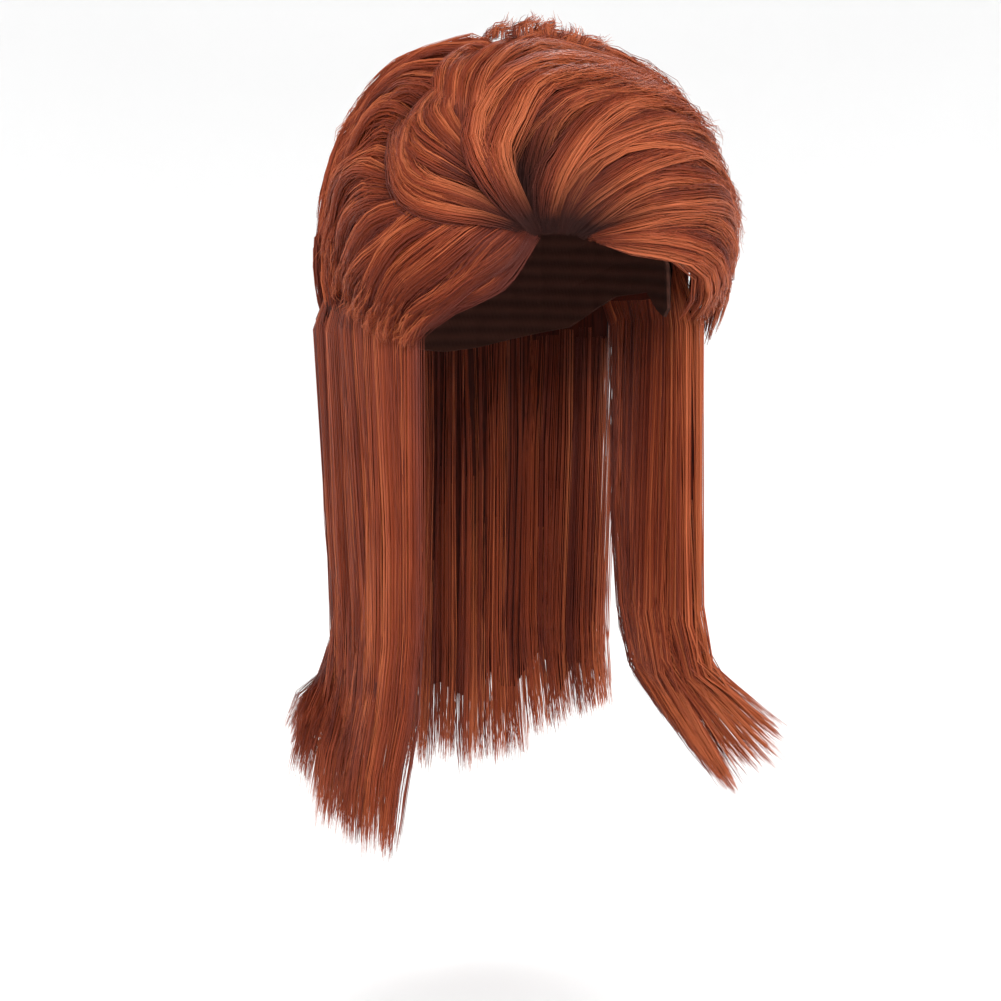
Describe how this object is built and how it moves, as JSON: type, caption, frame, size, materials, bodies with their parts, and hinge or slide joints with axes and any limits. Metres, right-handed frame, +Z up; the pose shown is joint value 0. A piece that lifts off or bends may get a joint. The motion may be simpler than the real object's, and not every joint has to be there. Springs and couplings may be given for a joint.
{
  "type": "mullet wig",
  "caption": "Mullet wig: a short teased crown swept up and back from the hairline, a sweep and a wing at the temples, and long straight lengths with flared tips, on a thin hollow cap.",
  "frame": {"origin": "top of the cap's hollow, where the wig sits on the crown of the head", "axes": "+Z up, the face looks along -Y and the wearer's left is +X"},
  "size_m": [0.2499, 0.2201, 0.4005],
  "materials": {
    "cap": "thin dark elastic cap with rows of sewn hair",
    "crown_hair": "teased copper red synthetic hair, soft sheen",
    "temple_hair": "brushed copper red synthetic hair, soft sheen",
    "long_hair": "straight copper red synthetic hair, soft sheen"
  },
  "bodies": {
    "root": {"cap": "cap", "crown_hair": "crown_hair", "right_sweep": "temple_hair", "left_wing": "temple_hair", "right_lengths": "long_hair", "back_lengths": "long_hair", "left_lengths": "long_hair"}
  },
  "joints": []
}
